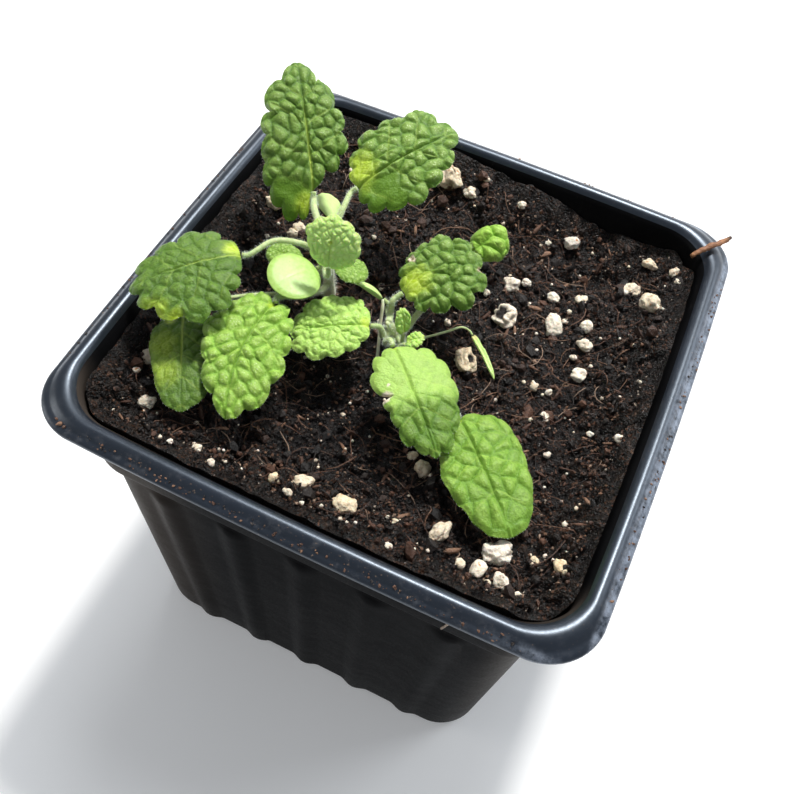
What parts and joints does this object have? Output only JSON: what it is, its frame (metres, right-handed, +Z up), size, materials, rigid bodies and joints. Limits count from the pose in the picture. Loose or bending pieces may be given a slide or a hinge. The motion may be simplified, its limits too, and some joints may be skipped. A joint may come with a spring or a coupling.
{
  "type": "potted white horehound",
  "caption": "Young white horehound plants with round crinkled leaves in a square black nursery pot of potting mix with perlite.",
  "frame": {"origin": "centre of the pot's base, on the surface that it stands on", "axes": "+Z up along the pot's axis; -Y towards the side of the pot that faces the picture's lower left, +X towards the side that faces its lower right"},
  "size_m": [0.09, 0.09, 0.0993],
  "materials": {
    "pot": "satin",
    "soil": "matte",
    "stem": "matte",
    "leaf": "matte",
    "seed_leaf": "matte",
    "bark": "matte"
  },
  "bodies": {
    "root": {"pot": "pot", "soil": "soil", "stem_left": "stem", "stem_right": "stem", "leaf_left_tall": "leaf", "leaf_left_back": "leaf", "leaf_left_outer": "leaf", "leaf_left_front": "leaf", "leaf_left_old": "leaf", "leaf_left_young": "leaf", "leaf_left_small": "leaf", "leaf_left_side": "leaf", "seed_leaf_left_round": "seed_leaf", "seed_leaf_left_back": "seed_leaf", "leaf_right_round": "leaf", "leaf_right_left": "leaf", "leaf_right_front": "leaf", "leaf_right_lower": "leaf", "leaf_right_curled": "leaf", "leaf_right_tip_back": "leaf", "leaf_right_tip_front": "leaf", "seed_leaf_right_narrow": "seed_leaf", "seed_leaf_right_withered": "seed_leaf", "bark_sliver": "bark"}
  },
  "joints": []
}
